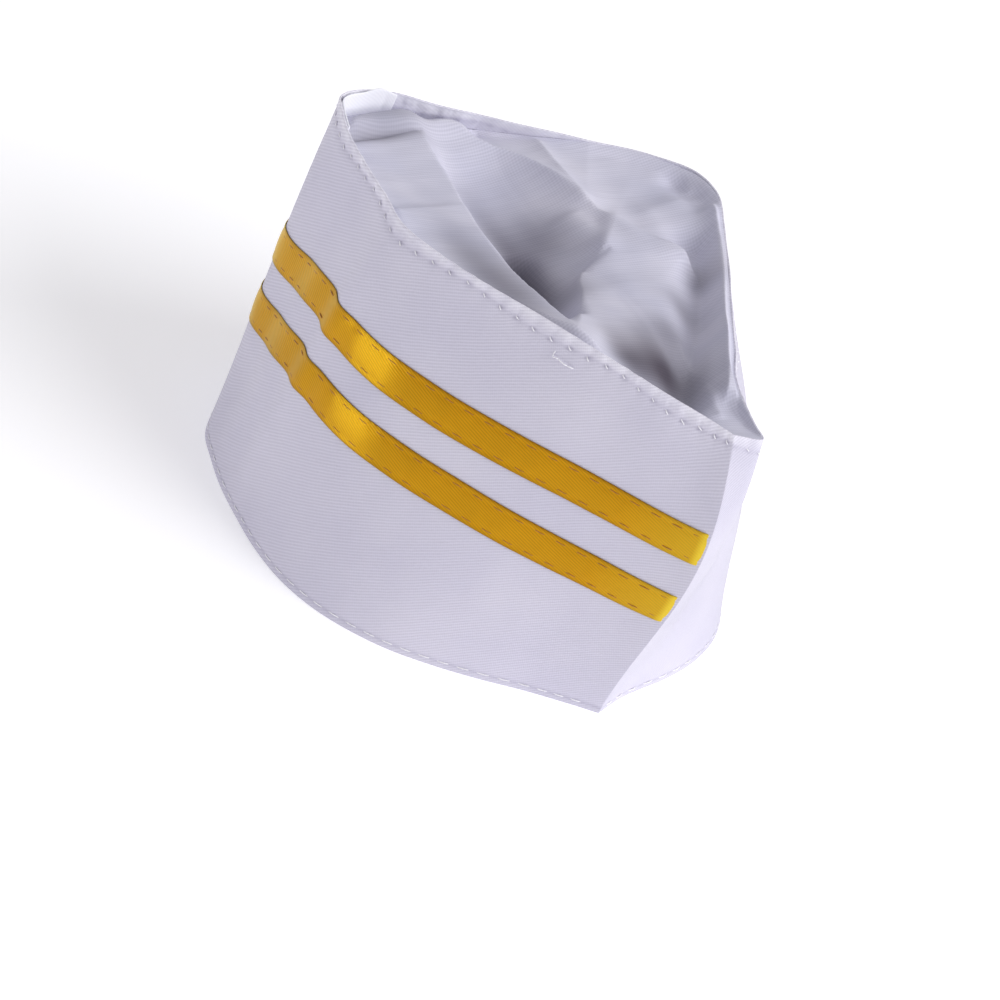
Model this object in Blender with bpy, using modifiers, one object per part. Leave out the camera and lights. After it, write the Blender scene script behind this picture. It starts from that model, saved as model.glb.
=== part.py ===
"""A white two-sided boat cap with two golden ribbons on one side.

The cap stands on its base edge at z = 0. X runs from the front crease (-X) to the rear crease (+X).
The striped panel is on the -Y side and the plain panel on the +Y side. All sizes are in metres.
"""

from collections import namedtuple

import bmesh
import bpy
import numpy as np

# Size of the worn cap.
HALF_LENGTH = 0.096  # middle to a crease at the base
HALF_WIDTH = 0.087  # middle to a side at the base
WALL_HEIGHT = 0.1278  # highest point of the rim above the base
BAND_THICKNESS = 0.0016  # two layers of twill with a stiffener between them
BELLY = 0.012  # how far the rear crease swells out past a straight line
BELLY_PEAK = 0.62  # share of the height where the swell is widest

# Ribbons on the striped panel.
RIBBON_WIDTH = 0.0127
RIBBON_THICKNESS = 0.0010
RIBBON_FROM_RIM = 0.0370  # rim to the upper edge of the upper ribbon, before the drift below
RIBBON_SPACE = 0.0113  # cloth that shows between the two ribbons, before the drift below
RIBBON_END_INSET = 0.0015  # crease to the folded end of a ribbon

# Crown cloth inside the rim.
CROWN_THICKNESS = 0.0010
CROWN_BELOW_RIM = 0.0040  # rim to the line where the crown is stitched in
CROWN_HEM = 0.0030  # how far the cloth drops along the wall before it turns in
CROWN_SAG = 0.0050  # drop of the crown's middle below its edge
FOLD_RISE = 0.0060  # height of a fold whose share is 1
CROWN_MIDDLE_X = 0.008
CROWN_MIDDLE_Y = 0.000

CLEARANCE = 0.0003  # gap between pieces that touch
CROWN_INSET = 1.25 * (BAND_THICKNESS + CLEARANCE + CROWN_THICKNESS)  # outer skin to the crown's edge
LEAST_FACING = 0.3  # keeps the inset short where the rim runs almost towards the crown's middle

# Mesh divisions.
PANEL_COLUMNS = 48
BAND_ROWS = 10
RIBBON_ROWS = 2
CROWN_RINGS = 15
FLOOR_OVERLAP = 0.004  # the raw wall reaches this far below the base before it is cut level

# The tables below count from the middle of the base. The finished cap is placed so that the middle of its
# whole box is the origin, and this is where that middle lies in the tables.
BOX_MIDDLE = (0.0084, 0.0005, 0.0)

# Each panel is a table of upright lines from crease to crease. Lengths along X are shares of HALF_LENGTH,
# along Y of HALF_WIDTH, the rim's height of WALL_HEIGHT and the belly of BELLY. Along is the share of the
# panel's length, 0 at the rear crease and 1 at the front crease.
Station = namedtuple("Station", "along base_x base_y rim_x rim_y rim_z belly")

STRIPED_PANEL = (
    Station(0.00, 1.02, 0.00, 1.07, 0.015, 0.940, 1.00),
    Station(0.06, 0.95, -0.12, 0.995, -0.05, 0.948, 0.65),
    Station(0.10, 0.88, -0.25, 0.905, -0.155, 0.962, 0.40),
    Station(0.15, 0.80, -0.42, 0.80, -0.25, 0.973, 0.25),
    Station(0.20, 0.715, -0.575, 0.685, -0.355, 0.983, 0.20),
    Station(0.27, 0.59, -0.75, 0.51, -0.49, 0.990, 0.15),
    Station(0.34, 0.42, -0.895, 0.335, -0.615, 0.990, 0.15),
    Station(0.41, 0.235, -0.975, 0.15, -0.74, 0.993, 0.15),
    Station(0.47, 0.06, -0.997, -0.01, -0.815, 1.000, 0.10),
    Station(0.53, -0.115, -0.99, -0.19, -0.795, 1.000, 0.05),
    Station(0.59, -0.29, -0.97, -0.375, -0.78, 1.000, 0.10),
    Station(0.64, -0.435, -0.935, -0.515, -0.76, 1.000, 0.14),
    Station(0.70, -0.59, -0.88, -0.70, -0.70, 0.998, 0.08),
    Station(0.75, -0.722, -0.765, -0.785, -0.645, 0.988, 0.05),
    Station(0.81, -0.825, -0.60, -0.83, -0.53, 0.982, 0.10),
    Station(0.87, -0.89, -0.405, -0.83, -0.385, 0.975, 0.18),
    Station(0.93, -0.945, -0.225, -0.79, -0.205, 0.960, 0.27),
    Station(1.00, -1.00, 0.00, -0.75, 0.00, 0.946, 0.30),
)

PLAIN_PANEL = (
    Station(0.00, 1.02, 0.00, 1.07, 0.015, 0.940, 1.00),
    Station(0.05, 0.95, 0.155, 1.08, 0.150, 0.931, 0.50),
    Station(0.08, 0.92, 0.25, 1.01, 0.155, 0.935, 0.45),
    Station(0.12, 0.885, 0.375, 0.915, 0.167, 0.943, 0.45),
    Station(0.17, 0.825, 0.535, 0.79, 0.207, 0.947, 0.47),
    Station(0.25, 0.69, 0.755, 0.62, 0.315, 0.947, 0.58),
    Station(0.35, 0.46, 0.93, 0.40, 0.442, 0.947, 0.45),
    Station(0.45, 0.165, 1.00, 0.177, 0.570, 0.955, 0.18),
    Station(0.55, -0.135, 1.00, -0.05, 0.690, 0.966, 0.05),
    Station(0.62, -0.345, 0.96, -0.213, 0.758, 0.978, 0.10),
    Station(0.68, -0.51, 0.89, -0.354, 0.741, 0.974, 0.15),
    Station(0.75, -0.68, 0.755, -0.49, 0.620, 0.958, 0.20),
    Station(0.83, -0.825, 0.54, -0.588, 0.431, 0.947, 0.25),
    Station(0.92, -0.93, 0.265, -0.672, 0.195, 0.947, 0.30),
    Station(1.00, -1.00, 0.00, -0.75, 0.00, 0.946, 0.30),
)

# How much further from the rim each ribbon lies, in metres, at shares along the striped panel. Both dip by the
# same amount towards the front crease.
Drift = namedtuple("Drift", "along upper lower")
RIBBON_DRIFT = (
    Drift(0.00, -0.0031, 0.0004),
    Drift(0.08, -0.0012, 0.0013),
    Drift(0.17, -0.0003, 0.0014),
    Drift(0.28, 0.0009, 0.0007),
    Drift(0.40, 0.0002, -0.0005),
    Drift(0.50, 0.0002, -0.0002),
    Drift(0.56, 0.0021, 0.0019),
    Drift(0.62, 0.0063, 0.0062),
    Drift(0.68, 0.0105, 0.0105),
    Drift(0.74, 0.0124, 0.0124),
    Drift(0.80, 0.0125, 0.0125),
    Drift(1.00, 0.0125, 0.0125),
)

# A soft dent that runs down the striped panel, and the low fold beside it, which stands out. Along is the
# place on the panel at the rim and at the base.
Dent = namedtuple("Dent", "at_rim at_base width depth")
DENT_DEPTH = 0.0030
STRIPED_DENTS = (
    Dent(0.60, 0.68, 0.045, 1.00),
    Dent(0.48, 0.55, 0.022, -0.75),
)

# Folds of the crown. Each follows a line from one point to another, given as shares of HALF_LENGTH and
# HALF_WIDTH. Width is its spread on the striped side and on the plain side of that line, as shares of
# HALF_WIDTH, and rise is a share of FOLD_RISE, up where positive.
Fold = namedtuple("Fold", "name from_x from_y to_x to_y striped_width plain_width rise")
CROWN_FOLDS = (
    Fold("front_roll", -0.72, -0.50, -0.76, -0.10, 0.14, 0.12, 0.80),
    Fold("main_crease", -0.68, -0.26, 0.46, -0.30, 0.40, 0.08, 0.80),
    Fold("deep_valley", -0.45, -0.13, 0.10, -0.15, 0.10, 0.26, -1.00),
    Fold("pocket", 0.12, -0.17, 0.30, -0.21, 0.10, 0.13, -1.70),
    Fold("bulge", 0.28, 0.06, 0.56, 0.00, 0.22, 0.28, 0.90),
    Fold("long_ridge", -0.70, 0.02, 0.11, 0.47, 0.10, 0.12, 0.75),
    Fold("short_ridge", -0.66, 0.23, -0.27, 0.26, 0.06, 0.10, 0.45),
    Fold("side_valley", 0.05, 0.50, 0.85, 0.08, 0.10, 0.10, -0.80),
    Fold("side_ridge", -0.10, 0.66, 0.55, 0.32, 0.08, 0.08, 0.50),
)

# Colours as linear red, green and blue.
WHITE_TWILL = (0.78, 0.77, 0.84)
WHITE_VOILE = (0.70, 0.69, 0.78)
GOLD_SATIN = (0.71, 0.33, 0.01)


def smooth_column(table, column, at):
    """A smooth curve through one column of a panel's table, read at the shares in at."""
    knots = np.array([row.along for row in table])
    values = np.array([getattr(row, column) for row in table])
    slopes = np.gradient(values, knots)
    left = np.clip(np.searchsorted(knots, at, side="right") - 1, 0, len(knots) - 2)
    gap = knots[left + 1] - knots[left]
    t = (at - knots[left]) / gap
    keep = (1 + 2 * t) * (1 - t) ** 2
    leave = t * (1 - t) ** 2
    arrive = t * t * (t - 1)
    return (
        keep * values[left]
        + leave * gap * slopes[left]
        + (1 - keep) * values[left + 1]
        + arrive * gap * slopes[left + 1]
    )


def dent_offset(along, height):
    """How far the striped panel is pushed in, at shares along the panel and up the wall."""
    total = np.zeros_like(along * height)
    for dent in STRIPED_DENTS:
        middle = dent.at_base + (dent.at_rim - dent.at_base) * height
        total += dent.depth * np.exp(-(((along - middle) / dent.width) ** 2))
    fade = np.clip(4 * height, 0, 1) * np.clip(4 * (1 - height), 0, 1)
    return DENT_DEPTH * total * fade


def wall_points(table, along, height):
    """Points of a panel's outer skin, at shares along the panel and up the wall."""
    along, height = np.broadcast_arrays(np.asarray(along, float), np.asarray(height, float))
    base = np.stack(
        (
            HALF_LENGTH * smooth_column(table, "base_x", along),
            HALF_WIDTH * smooth_column(table, "base_y", along),
            np.zeros_like(along),
        ),
        -1,
    )
    rim = np.stack(
        (
            HALF_LENGTH * smooth_column(table, "rim_x", along),
            HALF_WIDTH * smooth_column(table, "rim_y", along),
            WALL_HEIGHT * smooth_column(table, "rim_z", along),
        ),
        -1,
    )
    outward = base / np.linalg.norm(base, axis=-1, keepdims=True)
    rise = np.clip(height, 0, 1)
    swell = np.sin(np.pi * rise ** (np.log(0.5) / np.log(BELLY_PEAK)))
    push = BELLY * smooth_column(table, "belly", along) * swell
    if table is STRIPED_PANEL:
        push = push - dent_offset(along, rise)
    return base + (rim - base) * height[..., None] + outward * push[..., None]


def wall_length(table, along):
    """Length of the wall from base to rim at each share along the panel."""
    heights = np.linspace(0, 1, 25)
    line = wall_points(table, np.asarray(along)[:, None], heights[None, :])
    return np.linalg.norm(np.diff(line, axis=1), axis=2).sum(axis=1)


def wall_normals(table, along, height):
    """Outward unit normals of a panel's outer skin."""
    step = 1e-4
    ahead = wall_points(table, along + step, height) - wall_points(table, along - step, height)
    up = wall_points(table, along, height + step) - wall_points(table, along, height - step)
    normal = np.cross(up, ahead)
    normal /= np.linalg.norm(normal, axis=-1, keepdims=True)
    facing = np.sum(normal[..., :2] * wall_points(table, along, height)[..., :2], -1, keepdims=True)
    return normal * np.where(facing < 0, -1, 1)


def ring_columns():
    """The panel table and the share along it for every upright line round the cap, each once."""
    shares = np.linspace(0, 1, PANEL_COLUMNS + 1)
    striped = [(STRIPED_PANEL, share) for share in shares[:-1]]
    plain = [(PLAIN_PANEL, share) for share in shares[:0:-1]]
    return striped + plain


def ring_at(height_of_column):
    """One closed ring of points round the cap, with the height share worked out for each column."""
    points = [wall_points(table, share, height_of_column(table, share)) for table, share in ring_columns()]
    return np.array(points)


def loft(name, rings, closed, middle=None):
    """A mesh object of quads between rows of points, with a fan to a middle point where one is given."""
    mesh = bmesh.new()
    rows = [[mesh.verts.new(point - np.array(BOX_MIDDLE)) for point in ring] for ring in rings]
    count = len(rows[0])
    spans = range(count) if closed else range(count - 1)
    for lower, upper in zip(rows[:-1], rows[1:]):
        for i in spans:
            j = (i + 1) % count
            mesh.faces.new((lower[j], lower[i], upper[i], upper[j]))
    if middle is not None:
        top = mesh.verts.new(np.array(middle) - BOX_MIDDLE)
        for i in spans:
            mesh.faces.new((rows[-1][(i + 1) % count], rows[-1][i], top))
    data = bpy.data.meshes.new(name)
    mesh.to_mesh(data)
    mesh.free()
    data.shade_smooth()
    return bpy.data.objects.new(name, data)


def add_thickness(obj, thickness):
    """Gives an open sheet its thickness on the side away from its normals."""
    solid = obj.modifiers.new("Thickness", "SOLIDIFY")
    solid.thickness = thickness
    solid.offset = -1
    solid.use_even_offset = True
    solid.thickness_clamp = 1
    return solid


def cloth_material(name, colour, roughness, sheen):
    material = bpy.data.materials.new(name)
    material.use_nodes = True
    shader = material.node_tree.nodes["Principled BSDF"]
    shader.inputs["Base Color"].default_value = (*colour, 1)
    shader.inputs["Roughness"].default_value = roughness
    shader.inputs["Metallic"].default_value = 0
    shader.inputs["Sheen Weight"].default_value = sheen
    material.diffuse_color = (*colour, 1)
    return material


def collection(name):
    made = bpy.data.collections.new(name)
    bpy.context.scene.collection.children.link(made)
    return made


def make_band(parts, cutters, material):
    """The stiff wall: both panels as one folded strip, cut level at the base."""
    lowest = -FLOOR_OVERLAP / WALL_HEIGHT
    heights = np.concatenate(([lowest], np.linspace(0, 1, BAND_ROWS + 1)[1:]))
    rings = [ring_at(lambda table, share, h=h: h) for h in heights]
    band = loft("band", rings, closed=True)
    add_thickness(band, BAND_THICKNESS)
    band.data.materials.append(material)
    parts.objects.link(band)

    room = 2 * FLOOR_OVERLAP
    cutter_data = bpy.data.meshes.new("floor_cutter")
    box = bmesh.new()
    bmesh.ops.create_cube(box, size=1)
    bmesh.ops.scale(box, vec=(4 * HALF_LENGTH, 4 * HALF_WIDTH, room), verts=box.verts)
    bmesh.ops.translate(box, vec=(0, 0, -room / 2), verts=box.verts)
    box.to_mesh(cutter_data)
    box.free()
    cutter = bpy.data.objects.new("floor_cutter", cutter_data)
    cutter.hide_render = True
    cutter.display_type = "WIRE"
    cutters.objects.link(cutter)

    level = band.modifiers.new("Level base", "BOOLEAN")
    level.operation = "DIFFERENCE"
    level.object = cutter


def make_ribbon(name, from_rim, drift, parts, material):
    """A ribbon on the striped panel. Its upper edge lies from_rim and the drift column below the rim."""
    panel = STRIPED_PANEL
    ends = wall_points(panel, np.linspace(0, 1, 200), 0.5)
    panel_length = np.linalg.norm(np.diff(ends, axis=0), axis=1).sum()
    inset = RIBBON_END_INSET / panel_length
    along = np.linspace(0, 1, PANEL_COLUMNS + 1)
    along[0], along[-1] = inset, 1 - inset
    length = wall_length(panel, along)
    from_rim = from_rim + smooth_column(RIBBON_DRIFT, drift, along)
    rings = []
    for share in np.linspace(1, 0, RIBBON_ROWS + 1):
        height = 1 - (from_rim + share * RIBBON_WIDTH) / length
        lift = CLEARANCE + RIBBON_THICKNESS
        rings.append(wall_points(panel, along, height) + lift * wall_normals(panel, along, height))
    ribbon = loft(name, rings, closed=False)
    add_thickness(ribbon, RIBBON_THICKNESS)
    ribbon.data.materials.append(material)
    parts.objects.link(ribbon)


def crown_edge():
    """The closed line where the crown's upper face starts, clear of the band's inner skin."""

    def height_of(table, share):
        return 1 - CROWN_BELOW_RIM / wall_length(table, [share])[0]

    edge = ring_at(height_of)
    away = edge[:, :2] - np.array((CROWN_MIDDLE_X, CROWN_MIDDLE_Y))
    reach = np.linalg.norm(away, axis=1, keepdims=True)
    away /= reach
    facing = np.ones((len(edge), 1))
    for neighbour in (1, -1):
        run = np.roll(edge, neighbour, axis=0)[:, :2] - edge[:, :2]
        run /= np.linalg.norm(run, axis=1, keepdims=True)
        across = np.abs(away[:, :1] * run[:, 1:] - away[:, 1:] * run[:, :1])
        facing = np.minimum(facing, across)
    inset = CROWN_INSET / np.clip(facing, LEAST_FACING, 1)
    edge[:, :2] -= away * inset
    return edge


def fold_height(x, y):
    """The crown's folds at a point: the sum of the rises of all fold lines."""
    total = np.zeros_like(x)
    for fold in CROWN_FOLDS:
        start = np.array((fold.from_x * HALF_LENGTH, fold.from_y * HALF_WIDTH))
        run = np.array((fold.to_x * HALF_LENGTH, fold.to_y * HALF_WIDTH)) - start
        length = np.linalg.norm(run)
        run = run / length
        ahead = (x - start[0]) * run[0] + (y - start[1]) * run[1]
        aside = (y - start[1]) * run[0] - (x - start[0]) * run[1]
        past = np.maximum(0, np.maximum(-ahead, ahead - length))
        width = np.where(aside < 0, fold.striped_width, fold.plain_width) * HALF_WIDTH
        end_width = max(fold.striped_width, fold.plain_width) * HALF_WIDTH
        total += fold.rise * np.exp(-((aside / width) ** 2) - (past / end_width) ** 2)
    return FOLD_RISE * total


def crown_height(edge_z, x, y, reach):
    """Height of the crown's upper face, where reach is 1 at its edge and 0 at its middle."""
    inner = np.clip((1 - reach) / 0.08, 0, 1)
    hem = CROWN_HEM * inner * inner * (3 - 2 * inner)
    sag = CROWN_SAG * (1 - reach**2)
    return edge_z - hem - sag + fold_height(x, y) * (1 - reach**8)


def make_crown(parts, material):
    """The thin cloth that closes the top, sagging between the walls."""
    edge = crown_edge()
    middle = np.array((CROWN_MIDDLE_X, CROWN_MIDDLE_Y))
    middle_z = edge[:, 2].mean()
    rings = []
    for reach in np.linspace(1, 0, CROWN_RINGS + 1)[:-1]:
        ring = edge.copy()
        ring[:, :2] = middle + (edge[:, :2] - middle) * reach
        edge_z = middle_z + (edge[:, 2] - middle_z) * reach**2
        ring[:, 2] = crown_height(edge_z, ring[:, 0], ring[:, 1], reach)
        rings.append(ring)
    top = crown_height(middle_z, middle[:1], middle[1:], 0.0)[0]
    crown = loft("crown", rings, closed=True, middle=(*middle, top))
    add_thickness(crown, CROWN_THICKNESS)
    crown.data.materials.append(material)
    parts.objects.link(crown)


def main():
    for obj in list(bpy.data.objects):
        bpy.data.objects.remove(obj)
    parts = collection("waiter_cap")
    cutters = collection("cutters")
    cutters.hide_render = True
    twill = cloth_material("White twill", WHITE_TWILL, 0.85, 0.2)
    voile = cloth_material("White voile", WHITE_VOILE, 0.90, 0.1)
    satin = cloth_material("Golden satin ribbon", GOLD_SATIN, 0.38, 0.0)
    make_band(parts, cutters, twill)
    make_ribbon("upper_ribbon", RIBBON_FROM_RIM, "upper", parts, satin)
    lower_from_rim = RIBBON_FROM_RIM + RIBBON_WIDTH + RIBBON_SPACE
    make_ribbon("lower_ribbon", lower_from_rim, "lower", parts, satin)
    make_crown(parts, voile)


main()
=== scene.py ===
# %% [markdown]
# # A white waiter cap
#
# This is the boat-shaped cap of a waiter. A tall strip of white twill is folded into a loop with a pressed
# crease at each end. One of its long sides carries two golden ribbons. A thin cloth is sewn in just below the
# rim and sinks a little between the walls. The finished model is laid over a plain solid one, so the first
# step loads that solid as a frame.

import math

import bpy
import numpy as np
from mathutils import Matrix, Vector


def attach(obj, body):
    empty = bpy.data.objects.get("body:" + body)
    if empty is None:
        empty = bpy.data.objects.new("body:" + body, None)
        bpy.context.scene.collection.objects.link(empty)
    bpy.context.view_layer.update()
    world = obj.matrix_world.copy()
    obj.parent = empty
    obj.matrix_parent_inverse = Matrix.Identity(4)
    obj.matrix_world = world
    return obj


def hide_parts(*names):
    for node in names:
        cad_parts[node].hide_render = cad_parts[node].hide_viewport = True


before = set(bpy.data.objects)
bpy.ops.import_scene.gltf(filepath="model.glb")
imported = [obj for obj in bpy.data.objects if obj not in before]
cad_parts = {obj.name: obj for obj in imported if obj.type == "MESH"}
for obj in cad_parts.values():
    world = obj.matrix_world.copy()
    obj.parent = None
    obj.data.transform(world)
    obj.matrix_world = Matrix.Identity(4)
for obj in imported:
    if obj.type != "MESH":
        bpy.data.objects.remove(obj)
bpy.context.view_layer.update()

# %% [markdown]
# ## Sizes
#
# A sewn thing is easiest to shape from a few measures and a pattern. The cap fits a head of about 57 cm,
# which fixes the base. The wall is a double twill with a stiff layer between, and it keeps its own form. It
# could be drawn as curves, but a table of upright lines is closer to how a cutter checks such a strip: each
# row says where one line starts at the base and where it ends at the rim.

# %% Named sizes in metres
HALF_LENGTH = 0.096
HALF_WIDTH = 0.087
WALL_HEIGHT = 0.1278
WALL_THICKNESS = 0.0011
BELLY = 0.012
BELLY_PEAK = 0.62
BOX_MIDDLE = (0.0084, 0.0005, 0.0)

# Columns: along, base x, base y, rim x, rim y, rim z, belly. All are shares of the sizes above. Along runs
# from the rear crease to the front crease.
STRIPED_SIDE = (
    (0.00, 1.02, 0.00, 1.07, 0.015, 0.940, 1.00),
    (0.06, 0.95, -0.12, 0.995, -0.05, 0.948, 0.65),
    (0.10, 0.88, -0.25, 0.905, -0.155, 0.962, 0.40),
    (0.15, 0.80, -0.42, 0.80, -0.25, 0.973, 0.25),
    (0.20, 0.715, -0.575, 0.685, -0.355, 0.983, 0.20),
    (0.27, 0.59, -0.75, 0.51, -0.49, 0.990, 0.15),
    (0.34, 0.42, -0.895, 0.335, -0.615, 0.990, 0.15),
    (0.41, 0.235, -0.975, 0.15, -0.74, 0.993, 0.15),
    (0.47, 0.06, -0.997, -0.01, -0.815, 1.000, 0.10),
    (0.53, -0.115, -0.99, -0.19, -0.795, 1.000, 0.05),
    (0.59, -0.29, -0.97, -0.375, -0.78, 1.000, 0.10),
    (0.64, -0.435, -0.935, -0.515, -0.76, 1.000, 0.14),
    (0.70, -0.59, -0.88, -0.70, -0.70, 0.998, 0.08),
    (0.75, -0.722, -0.765, -0.785, -0.645, 0.988, 0.05),
    (0.81, -0.825, -0.60, -0.83, -0.53, 0.982, 0.10),
    (0.87, -0.89, -0.405, -0.83, -0.385, 0.975, 0.18),
    (0.93, -0.945, -0.225, -0.79, -0.205, 0.960, 0.27),
    (1.00, -1.00, 0.00, -0.75, 0.00, 0.946, 0.30),
)
PLAIN_SIDE = (
    (0.00, 1.02, 0.00, 1.07, 0.015, 0.940, 1.00),
    (0.05, 0.95, 0.155, 1.08, 0.150, 0.931, 0.50),
    (0.08, 0.92, 0.25, 1.01, 0.155, 0.935, 0.45),
    (0.12, 0.885, 0.375, 0.915, 0.167, 0.943, 0.45),
    (0.17, 0.825, 0.535, 0.79, 0.207, 0.947, 0.47),
    (0.25, 0.69, 0.755, 0.62, 0.315, 0.947, 0.58),
    (0.35, 0.46, 0.93, 0.40, 0.442, 0.947, 0.45),
    (0.45, 0.165, 1.00, 0.177, 0.570, 0.955, 0.18),
    (0.55, -0.135, 1.00, -0.05, 0.690, 0.966, 0.05),
    (0.62, -0.345, 0.96, -0.213, 0.758, 0.978, 0.10),
    (0.68, -0.51, 0.89, -0.354, 0.741, 0.974, 0.15),
    (0.75, -0.68, 0.755, -0.49, 0.620, 0.958, 0.20),
    (0.83, -0.825, 0.54, -0.588, 0.431, 0.947, 0.25),
    (0.92, -0.93, 0.265, -0.672, 0.195, 0.947, 0.30),
    (1.00, -1.00, 0.00, -0.75, 0.00, 0.946, 0.30),
)
# A soft dent of the striped side, and the low fold beside it that stands out. Columns: place at the rim, place
# at the base and width, as shares along the side, and depth in metres.
DENTS = ((0.60, 0.68, 0.045, 0.0030), (0.48, 0.55, 0.022, -0.00225))

# %% [markdown]
# ## The wall as one smooth surface
#
# Between the rows of the table the wall bends smoothly. A cubic curve through the rows gives that. Blender
# could also do it with a subdivided cage, but then the seams and stitches would have no exact line to
# follow. With a function, every ribbon, seam and stitch can ask where the cloth is and which way it faces.

# %% Where the wall is
def smooth_column(table, column, at):
    rows = np.array(table)
    knots, values = rows[:, 0], rows[:, column]
    slopes = np.gradient(values, knots)
    left = np.clip(np.searchsorted(knots, at, side="right") - 1, 0, len(knots) - 2)
    gap = knots[left + 1] - knots[left]
    t = (at - knots[left]) / gap
    keep = (1 + 2 * t) * (1 - t) ** 2
    tangents = t * (1 - t) ** 2 * slopes[left] + t * t * (t - 1) * slopes[left + 1]
    return keep * values[left] + (1 - keep) * values[left + 1] + gap * tangents


def wall_points(table, along, height):
    along, height = np.broadcast_arrays(np.asarray(along, float), np.asarray(height, float))
    column = [smooth_column(table, number, along) for number in range(1, 7)]
    base = np.stack((HALF_LENGTH * column[0], HALF_WIDTH * column[1], 0 * along), -1)
    rim = np.stack((HALF_LENGTH * column[2], HALF_WIDTH * column[3], WALL_HEIGHT * column[4]), -1)
    outward = base / np.linalg.norm(base, axis=-1, keepdims=True)
    rise = np.clip(height, 0, 1)
    push = BELLY * column[5] * np.sin(np.pi * rise ** (math.log(0.5) / math.log(BELLY_PEAK)))
    if table is STRIPED_SIDE:
        fade = np.clip(4 * rise, 0, 1) * np.clip(4 * (1 - rise), 0, 1)
        for at_rim, at_base, width, depth in DENTS:
            middle = at_base + (at_rim - at_base) * rise
            push = push - depth * fade * np.exp(-(((along - middle) / width) ** 2))
    return base + (rim - base) * height[..., None] + outward * push[..., None] - np.array(BOX_MIDDLE)


def wall_normals(table, along, height):
    step = 1e-3
    ahead = wall_points(table, along + step, height) - wall_points(table, along - step, height)
    up = wall_points(table, along, height + step) - wall_points(table, along, height - step)
    normal = np.cross(up, ahead)
    normal /= np.linalg.norm(normal, axis=-1, keepdims=True)
    facing = np.sum(normal[..., :2] * wall_points(table, along, height)[..., :2], -1, keepdims=True)
    return normal * np.where(facing < 0, -1, 1)


def wall_length(table, along):
    line = wall_points(table, np.asarray(along, float)[:, None], np.linspace(0, 1, 25)[None, :])
    return np.linalg.norm(np.diff(line, axis=1), axis=2).sum(axis=1)


def off_wall(table, along, height, lift):
    """Points that stand off the outer skin of one side by lift."""
    return wall_points(table, along, height) + lift[:, None] * wall_normals(table, along, height)


# %% How long the wall is
SHARES = np.linspace(0, 1, 401)


def run_of(side):
    """Distance along a side, half way up, for each of the SHARES."""
    line = wall_points(side, SHARES, 0.5)
    return np.concatenate(([0], np.linalg.norm(np.diff(line, axis=0), axis=1).cumsum()))


STRIPED_RUN, PLAIN_RUN = run_of(STRIPED_SIDE), run_of(PLAIN_SIDE)
FRONT_CREASE = STRIPED_RUN[-1]  # distance of the front crease from the rear one, along the striped side
STRIP_LENGTH = FRONT_CREASE + PLAIN_RUN[-1]
print("strip length at mid height", round(STRIP_LENGTH, 4))

LENGTHS = {id(side): wall_length(side, SHARES) for side in (STRIPED_SIDE, PLAIN_SIDE)}


def length_at(side, along):
    """How long the wall is from its base to its rim."""
    return np.interp(along, SHARES, LENGTHS[id(side)])


def striped_run(along):
    return np.interp(along, SHARES, STRIPED_RUN)


def striped_along(run):
    return np.interp(run, STRIPED_RUN, SHARES)


# %% [markdown]
# ## Small helpers
#
# Cloth is drawn here as a flat grid, the way it is cut, and each point of the grid is then carried to its
# place on the cap. The grid keeps its own flat UV map, so weave and stitching follow the cloth and not the
# room. One helper adds the grid, two more give it thickness and rounded edges, and one applies them.

# %% Helpers for modelling
def only(obj):
    bpy.ops.object.select_all(action="DESELECT")
    obj.select_set(True)
    bpy.context.view_layer.objects.active = obj


def grid_cloth(name, grid, place, chart, marks=()):
    """A flat grid whose points go to place(u, v).

    chart(u, v) is a point's place on the flat cloth in metres, kept as the UV map. Each mark is a title and a
    function that gives a number for every point, kept as an attribute for the material to read.
    """
    bpy.ops.object.select_all(action="DESELECT")
    bpy.ops.mesh.primitive_grid_add(
        x_subdivisions=grid[0], y_subdivisions=grid[1], size=1, calc_uvs=False
    )
    obj = bpy.context.object
    obj.name = obj.data.name = name
    flat = np.empty(3 * len(obj.data.vertices))
    obj.data.vertices.foreach_get("co", flat)
    u, v = flat.reshape(-1, 3)[:, 0] + 0.5, flat.reshape(-1, 3)[:, 1] + 0.5
    obj.data.vertices.foreach_set("co", place(u, v).ravel())
    corners = np.empty(len(obj.data.loops), int)
    obj.data.loops.foreach_get("vertex_index", corners)
    layer = obj.data.uv_layers.new(name="cloth")
    layer.data.foreach_set("uv", np.stack(chart(u, v), -1)[corners].ravel())
    for title, mark in marks:
        obj.data.attributes.new(title, "FLOAT", "POINT").data.foreach_set("value", mark(u, v))
    obj.data.update()
    obj.data.shade_smooth()
    return obj


def apply_all(obj):
    only(obj)
    for modifier in list(obj.modifiers):
        bpy.ops.object.modifier_apply(modifier=modifier.name)


def thicken(obj, thickness):
    solid = obj.modifiers.new("Cloth thickness", "SOLIDIFY")
    solid.thickness = thickness
    solid.offset = -1
    solid.use_even_offset = True
    solid.thickness_clamp = 1
    return solid


def round_edges(obj, width, segments):
    edges = obj.modifiers.new("Rounded edges", "BEVEL")
    edges.width = width
    edges.segments = segments
    edges.limit_method = "ANGLE"
    edges.angle_limit = math.radians(60)


# %% Helpers for materials
def linear(hex_colour):
    """An sRGB hex value as the linear colour that a shader takes."""
    channels = [int(hex_colour[i : i + 2], 16) / 255 for i in (1, 3, 5)]
    return tuple(c / 12.92 if c <= 0.04045 else ((c + 0.055) / 1.055) ** 2.4 for c in channels) + (1.0,)


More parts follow.
